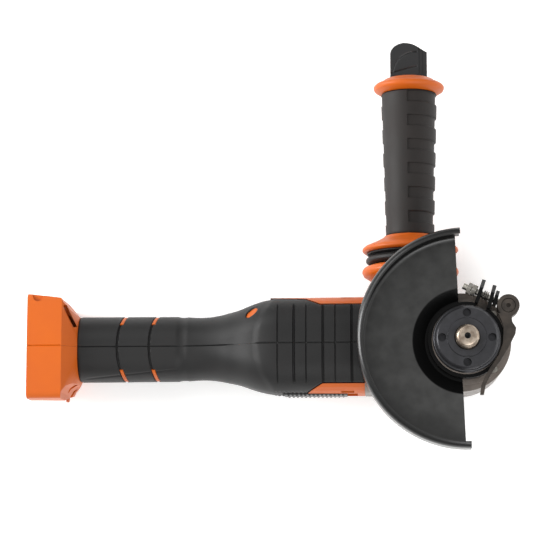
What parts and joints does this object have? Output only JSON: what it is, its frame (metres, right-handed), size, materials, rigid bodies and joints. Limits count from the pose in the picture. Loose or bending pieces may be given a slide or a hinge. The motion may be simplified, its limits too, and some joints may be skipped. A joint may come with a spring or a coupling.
{
  "type": "angle grinder",
  "caption": "Cordless angle grinder with a slide switch, clamped disc guard with a quick lever, damped side handle and stowed disc spanner, shown without battery or disc.",
  "frame": {"origin": "centre of the lock nut's outer face on the spindle's axis, where the free end of the spindle starts", "axes": "+Z out of the spindle, +X from the battery foot to the gear head, +Y towards the side handle"},
  "size_m": [0.3035, 0.2615, 0.092],
  "materials": {
    "orange_nylon": "moulded satin",
    "black_rubber": "moulded matte",
    "cast_case": "cast, painted grey",
    "guard_paint": "satin black",
    "blackened_steel": "black oxide",
    "lever_steel": "phosphated",
    "spindle_steel": "turned",
    "gear_steel": "hobbed and oiled",
    "zinc_screws": "zinc plated",
    "bearing_steel": "ground",
    "bronze": "sintered",
    "copper": "enamelled wire",
    "core_steel": "laminated",
    "black_nylon": "moulded",
    "board_green": "solder mask",
    "wire_red": "wire insulation",
    "lock_red": "moulded"
  },
  "bodies": {
    "root": {"housing_left": "orange_nylon", "housing_right": "orange_nylon", "cover_left": "black_rubber", "cover_right": "black_rubber", "housing_screws": "zinc_screws", "terminal_block": "black_nylon", "battery_contacts": "copper", "control_board": "board_green", "switch_module": "black_nylon", "wiring": "wire_red", "motor_can": "bearing_steel", "motor_magnets": "core_steel", "motor_end_cap": "black_nylon", "carbon_brushes": "core_steel", "brush_springs": "zinc_screws", "rear_motor_bearing": "bearing_steel", "front_motor_bearing": "bearing_steel", "air_baffle": "black_nylon", "gear_case": "cast_case", "gear_case_screws": "zinc_screws", "bearing_cover": "cast_case", "cover_screws": "zinc_screws", "spindle_bearing": "bearing_steel", "spindle_bush": "bronze", "dust_seal": "black_rubber", "button_spring": "zinc_screws"},
    "rotor": {"armature_shaft": "spindle_steel", "armature_core": "core_steel", "armature_windings": "copper", "commutator": "copper", "cooling_fan": "black_nylon", "pinion": "gear_steel"},
    "spindle_set": {"spindle": "spindle_steel", "crown_gear": "gear_steel", "gear_circlip": "blackened_steel", "inner_flange": "blackened_steel"},
    "nut": {"lock_nut": "blackened_steel"},
    "guard": {"guard_shell": "guard_paint", "guard_collar": "guard_paint", "clamp_screw": "zinc_screws", "clamp_nuts": "zinc_screws", "clamp_spring": "zinc_screws", "clamp_plate": "guard_paint", "lever_pin": "lever_steel"},
    "lever": {"guard_lever": "lever_steel"},
    "slider": {"switch_slider": "black_nylon", "switch_rod": "black_nylon"},
    "lock": {"lock_button": "lock_red", "lock_pin": "spindle_steel"},
    "side_handle": {"handle_stud": "spindle_steel", "handle_base_flange": "orange_nylon", "handle_damper": "black_rubber", "handle_guard_flange": "orange_nylon", "handle_core": "black_nylon", "handle_grip": "black_rubber", "handle_end_ring": "orange_nylon"},
    "spanner": {"disc_spanner": "black_nylon"}
  },
  "joints": [
    {"name": "spindle_spin", "type": "hinge", "parent": "root", "child": "spindle_set", "pos_m": [0, 0, 0], "axis": [0, 0, 1], "continuous": true},
    {"name": "motor_spin", "type": "hinge", "parent": "root", "child": "rotor", "pos_m": [-0.05, 0, -0.05], "axis": [1, 0, 0], "continuous": true},
    {"name": "lock_nut_off", "type": "slide", "parent": "spindle_set", "child": "nut", "axis": [0, 0, 1], "range_m": [0, 0.016]},
    {"name": "guard_turn", "type": "hinge", "parent": "root", "child": "guard", "pos_m": [0, 0, -0.019], "axis": [0, 0, 1], "range_deg": [-90, 90]},
    {"name": "lever_open", "type": "hinge", "parent": "guard", "child": "lever", "pos_m": [0.0254, 0.0203, -0.016], "axis": [0, 0, 1], "range_deg": [0, 75]},
    {"name": "switch_slide", "type": "slide", "parent": "root", "child": "slider", "axis": [1, 0, 0], "range_m": [0, 0.006]},
    {"name": "lock_press", "type": "slide", "parent": "root", "child": "lock", "axis": [0, 0, 1], "range_m": [0, 0.004], "stiffness_N_per_m": 400, "springref_m": -0.002, "deforming": ["button_spring"]},
    {"name": "side_handle_off", "type": "slide", "parent": "root", "child": "side_handle", "axis": [0, 1, 0], "range_m": [0, 0.018]},
    {"name": "spanner_out", "type": "slide", "parent": "side_handle", "child": "spanner", "axis": [0, 1, 0], "range_m": [0, 0.075]}
  ],
  "couplings": [
    {"joint": "motor_spin", "follows": "spindle_spin", "ratio": 4}
  ]
}
